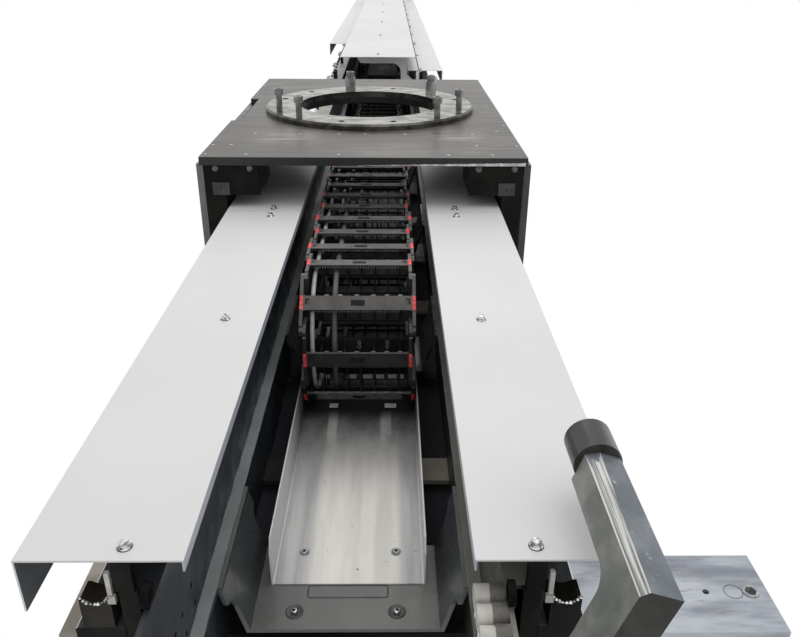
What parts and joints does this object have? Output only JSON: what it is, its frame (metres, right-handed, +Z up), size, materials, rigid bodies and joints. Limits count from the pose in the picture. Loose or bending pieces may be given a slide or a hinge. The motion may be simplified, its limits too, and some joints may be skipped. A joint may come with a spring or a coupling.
{
  "type": "robot linear track",
  "caption": "Floor-standing linear track for an industrial robot: a driven carriage with a round flange rolls on covered rails and trails an energy chain.",
  "frame": {"origin": "on the floor, on the centreline of the track, under the middle of the front floor plate", "axes": "+Y along the track away from the front end, +Z up, +X to the right"},
  "size_m": [1.463, 12.966, 0.7365],
  "materials": {
    "painted_beam": "satin",
    "cover_sheet": "satin",
    "mill_steel": "mill finish with stains",
    "ground_steel": "machined",
    "saddle_paint": "gloss",
    "zinc_sheet": "galvanised",
    "dark_paint": "satin with scuffs",
    "black_paint": "satin",
    "skirt_paint": "satin",
    "stop_steel": "mill scale",
    "rubber": "matt",
    "chain_plastic": "satin",
    "hose": "satin",
    "gland": "matt",
    "pad": "matt",
    "motor_black": "satin",
    "gearbox_metal": "cast"
  },
  "bodies": {
    "track": {"cable_fittings": "gland", "chain_anchor_fixed": "zinc_sheet", "chain_lower_run": "chain_plastic", "chain_tray": "zinc_sheet", "channel_roof": "cover_sheet", "cover_posts": "black_paint", "floor_plates": "mill_steel", "floor_ties": "mill_steel", "front_buffer": "rubber", "front_end_stop": "stop_steel", "front_floor_plate": "mill_steel", "front_rail_blocks": "black_paint", "gear_rack": "ground_steel", "hoses_lower_run": "hose", "left_beam": "painted_beam", "left_front_covers": "cover_sheet", "left_guide_rail": "ground_steel", "left_rear_covers": "cover_sheet", "levelling_screws": "ground_steel", "rear_buffer": "rubber", "rear_end_stop": "stop_steel", "rear_rail_blocks": "black_paint", "right_beam": "painted_beam", "right_front_covers": "cover_sheet", "right_guide_rail": "ground_steel", "right_rear_covers": "cover_sheet", "roof_brackets": "cover_sheet", "saddles": "saddle_paint"},
    "carriage": {"carriage_plate": "dark_paint", "robot_ring": "ground_steel", "ring_screws": "ground_steel", "ring_sleeves": "ground_steel", "strike_pads": "pad", "left_skirt": "skirt_paint", "right_skirt": "skirt_paint", "gearbox": "gearbox_metal", "servo_motor": "motor_black", "drive_bracket": "black_paint", "chain_anchor_moving": "skirt_paint", "chain_upper_run": "chain_plastic", "hoses_upper_run": "hose", "roller_housing_front_right": "black_paint", "roller_housing_front_left": "black_paint", "roller_housing_rear_right": "black_paint", "roller_housing_rear_left": "black_paint"},
    "chain_loop": {"chain_bend": "chain_plastic", "hoses_bend": "hose"},
    "pinion": {"pinion": "ground_steel"},
    "load_roller_front_right": {"load_roller_front_right": "ground_steel"},
    "load_roller_front_left": {"load_roller_front_left": "ground_steel"},
    "load_roller_rear_right": {"load_roller_rear_right": "ground_steel"},
    "load_roller_rear_left": {"load_roller_rear_left": "ground_steel"},
    "under_roller_front_right": {"under_roller_front_right": "ground_steel"},
    "under_roller_front_left": {"under_roller_front_left": "ground_steel"},
    "under_roller_rear_right": {"under_roller_rear_right": "ground_steel"},
    "under_roller_rear_left": {"under_roller_rear_left": "ground_steel"},
    "side_roller_front_right": {"side_roller_front_right": "ground_steel"},
    "side_roller_front_left": {"side_roller_front_left": "ground_steel"},
    "side_roller_rear_right": {"side_roller_rear_right": "ground_steel"},
    "side_roller_rear_left": {"side_roller_rear_left": "ground_steel"}
  },
  "joints": [
    {"name": "carriage_travel", "type": "slide", "parent": "track", "child": "carriage", "axis": [0, 1, 0], "range_m": [-1.46, 9.239], "deforming": ["chain_upper_run", "hoses_upper_run"]},
    {"name": "chain_follow", "type": "slide", "parent": "track", "child": "chain_loop", "axis": [0, 1, 0], "range_m": [-0.7305, 4.62], "deforming": ["chain_lower_run", "hoses_lower_run"]},
    {"name": "load_roller_front_right_spin", "type": "hinge", "parent": "carriage", "child": "load_roller_front_right", "pos_m": [0.365, 1.301, 0.3853], "axis": [1, 0, 0], "range_deg": [-11769, 1864]},
    {"name": "under_roller_front_right_spin", "type": "hinge", "parent": "carriage", "child": "under_roller_front_right", "pos_m": [0.365, 1.301, 0.2697], "axis": [1, 0, 0], "range_deg": [-2794, 17651]},
    {"name": "side_roller_front_right_spin", "type": "hinge", "parent": "carriage", "child": "side_roller_front_right", "pos_m": [0.4073, 1.421, 0.32], "axis": [0, 0, 1], "range_deg": [-3352, 21180]},
    {"name": "load_roller_front_left_spin", "type": "hinge", "parent": "carriage", "child": "load_roller_front_left", "pos_m": [-0.365, 1.301, 0.3853], "axis": [1, 0, 0], "range_deg": [-11769, 1864]},
    {"name": "under_roller_front_left_spin", "type": "hinge", "parent": "carriage", "child": "under_roller_front_left", "pos_m": [-0.365, 1.301, 0.2697], "axis": [1, 0, 0], "range_deg": [-2794, 17651]},
    {"name": "side_roller_front_left_spin", "type": "hinge", "parent": "carriage", "child": "side_roller_front_left", "pos_m": [-0.4073, 1.421, 0.32], "axis": [0, 0, 1], "range_deg": [-21180, 3352]},
    {"name": "load_roller_rear_right_spin", "type": "hinge", "parent": "carriage", "child": "load_roller_rear_right", "pos_m": [0.365, 2.772, 0.3853], "axis": [1, 0, 0], "range_deg": [-11769, 1864]},
    {"name": "under_roller_rear_right_spin", "type": "hinge", "parent": "carriage", "child": "under_roller_rear_right", "pos_m": [0.365, 2.772, 0.2697], "axis": [1, 0, 0], "range_deg": [-2794, 17651]},
    {"name": "side_roller_rear_right_spin", "type": "hinge", "parent": "carriage", "child": "side_roller_rear_right", "pos_m": [0.4073, 2.652, 0.32], "axis": [0, 0, 1], "range_deg": [-3352, 21180]},
    {"name": "load_roller_rear_left_spin", "type": "hinge", "parent": "carriage", "child": "load_roller_rear_left", "pos_m": [-0.365, 2.772, 0.3853], "axis": [1, 0, 0], "range_deg": [-11769, 1864]},
    {"name": "under_roller_rear_left_spin", "type": "hinge", "parent": "carriage", "child": "under_roller_rear_left", "pos_m": [-0.365, 2.772, 0.2697], "axis": [1, 0, 0], "range_deg": [-2794, 17651]},
    {"name": "side_roller_rear_left_spin", "type": "hinge", "parent": "carriage", "child": "side_roller_rear_left", "pos_m": [-0.4073, 2.652, 0.32], "axis": [0, 0, 1], "range_deg": [-21180, 3352]},
    {"name": "pinion_spin", "type": "hinge", "parent": "carriage", "child": "pinion", "pos_m": [-0.37665, 2.02, 0.366], "axis": [0, 0, 1], "range_deg": [-11769, 1864]}
  ],
  "couplings": [
    {"joint": "chain_follow", "follows": "carriage_travel", "ratio": 0.5},
    {"joint": "load_roller_front_right_spin", "follows": "carriage_travel", "rad_per_m": -22.222},
    {"joint": "under_roller_front_right_spin", "follows": "carriage_travel", "rad_per_m": 33.333},
    {"joint": "side_roller_front_right_spin", "follows": "carriage_travel", "rad_per_m": 40},
    {"joint": "load_roller_front_left_spin", "follows": "carriage_travel", "rad_per_m": -22.222},
    {"joint": "under_roller_front_left_spin", "follows": "carriage_travel", "rad_per_m": 33.333},
    {"joint": "side_roller_front_left_spin", "follows": "carriage_travel", "rad_per_m": -40},
    {"joint": "load_roller_rear_right_spin", "follows": "carriage_travel", "rad_per_m": -22.222},
    {"joint": "under_roller_rear_right_spin", "follows": "carriage_travel", "rad_per_m": 33.333},
    {"joint": "side_roller_rear_right_spin", "follows": "carriage_travel", "rad_per_m": 40},
    {"joint": "load_roller_rear_left_spin", "follows": "carriage_travel", "rad_per_m": -22.222},
    {"joint": "under_roller_rear_left_spin", "follows": "carriage_travel", "rad_per_m": 33.333},
    {"joint": "side_roller_rear_left_spin", "follows": "carriage_travel", "rad_per_m": -40},
    {"joint": "pinion_spin", "follows": "carriage_travel", "rad_per_m": -22.222}
  ]
}
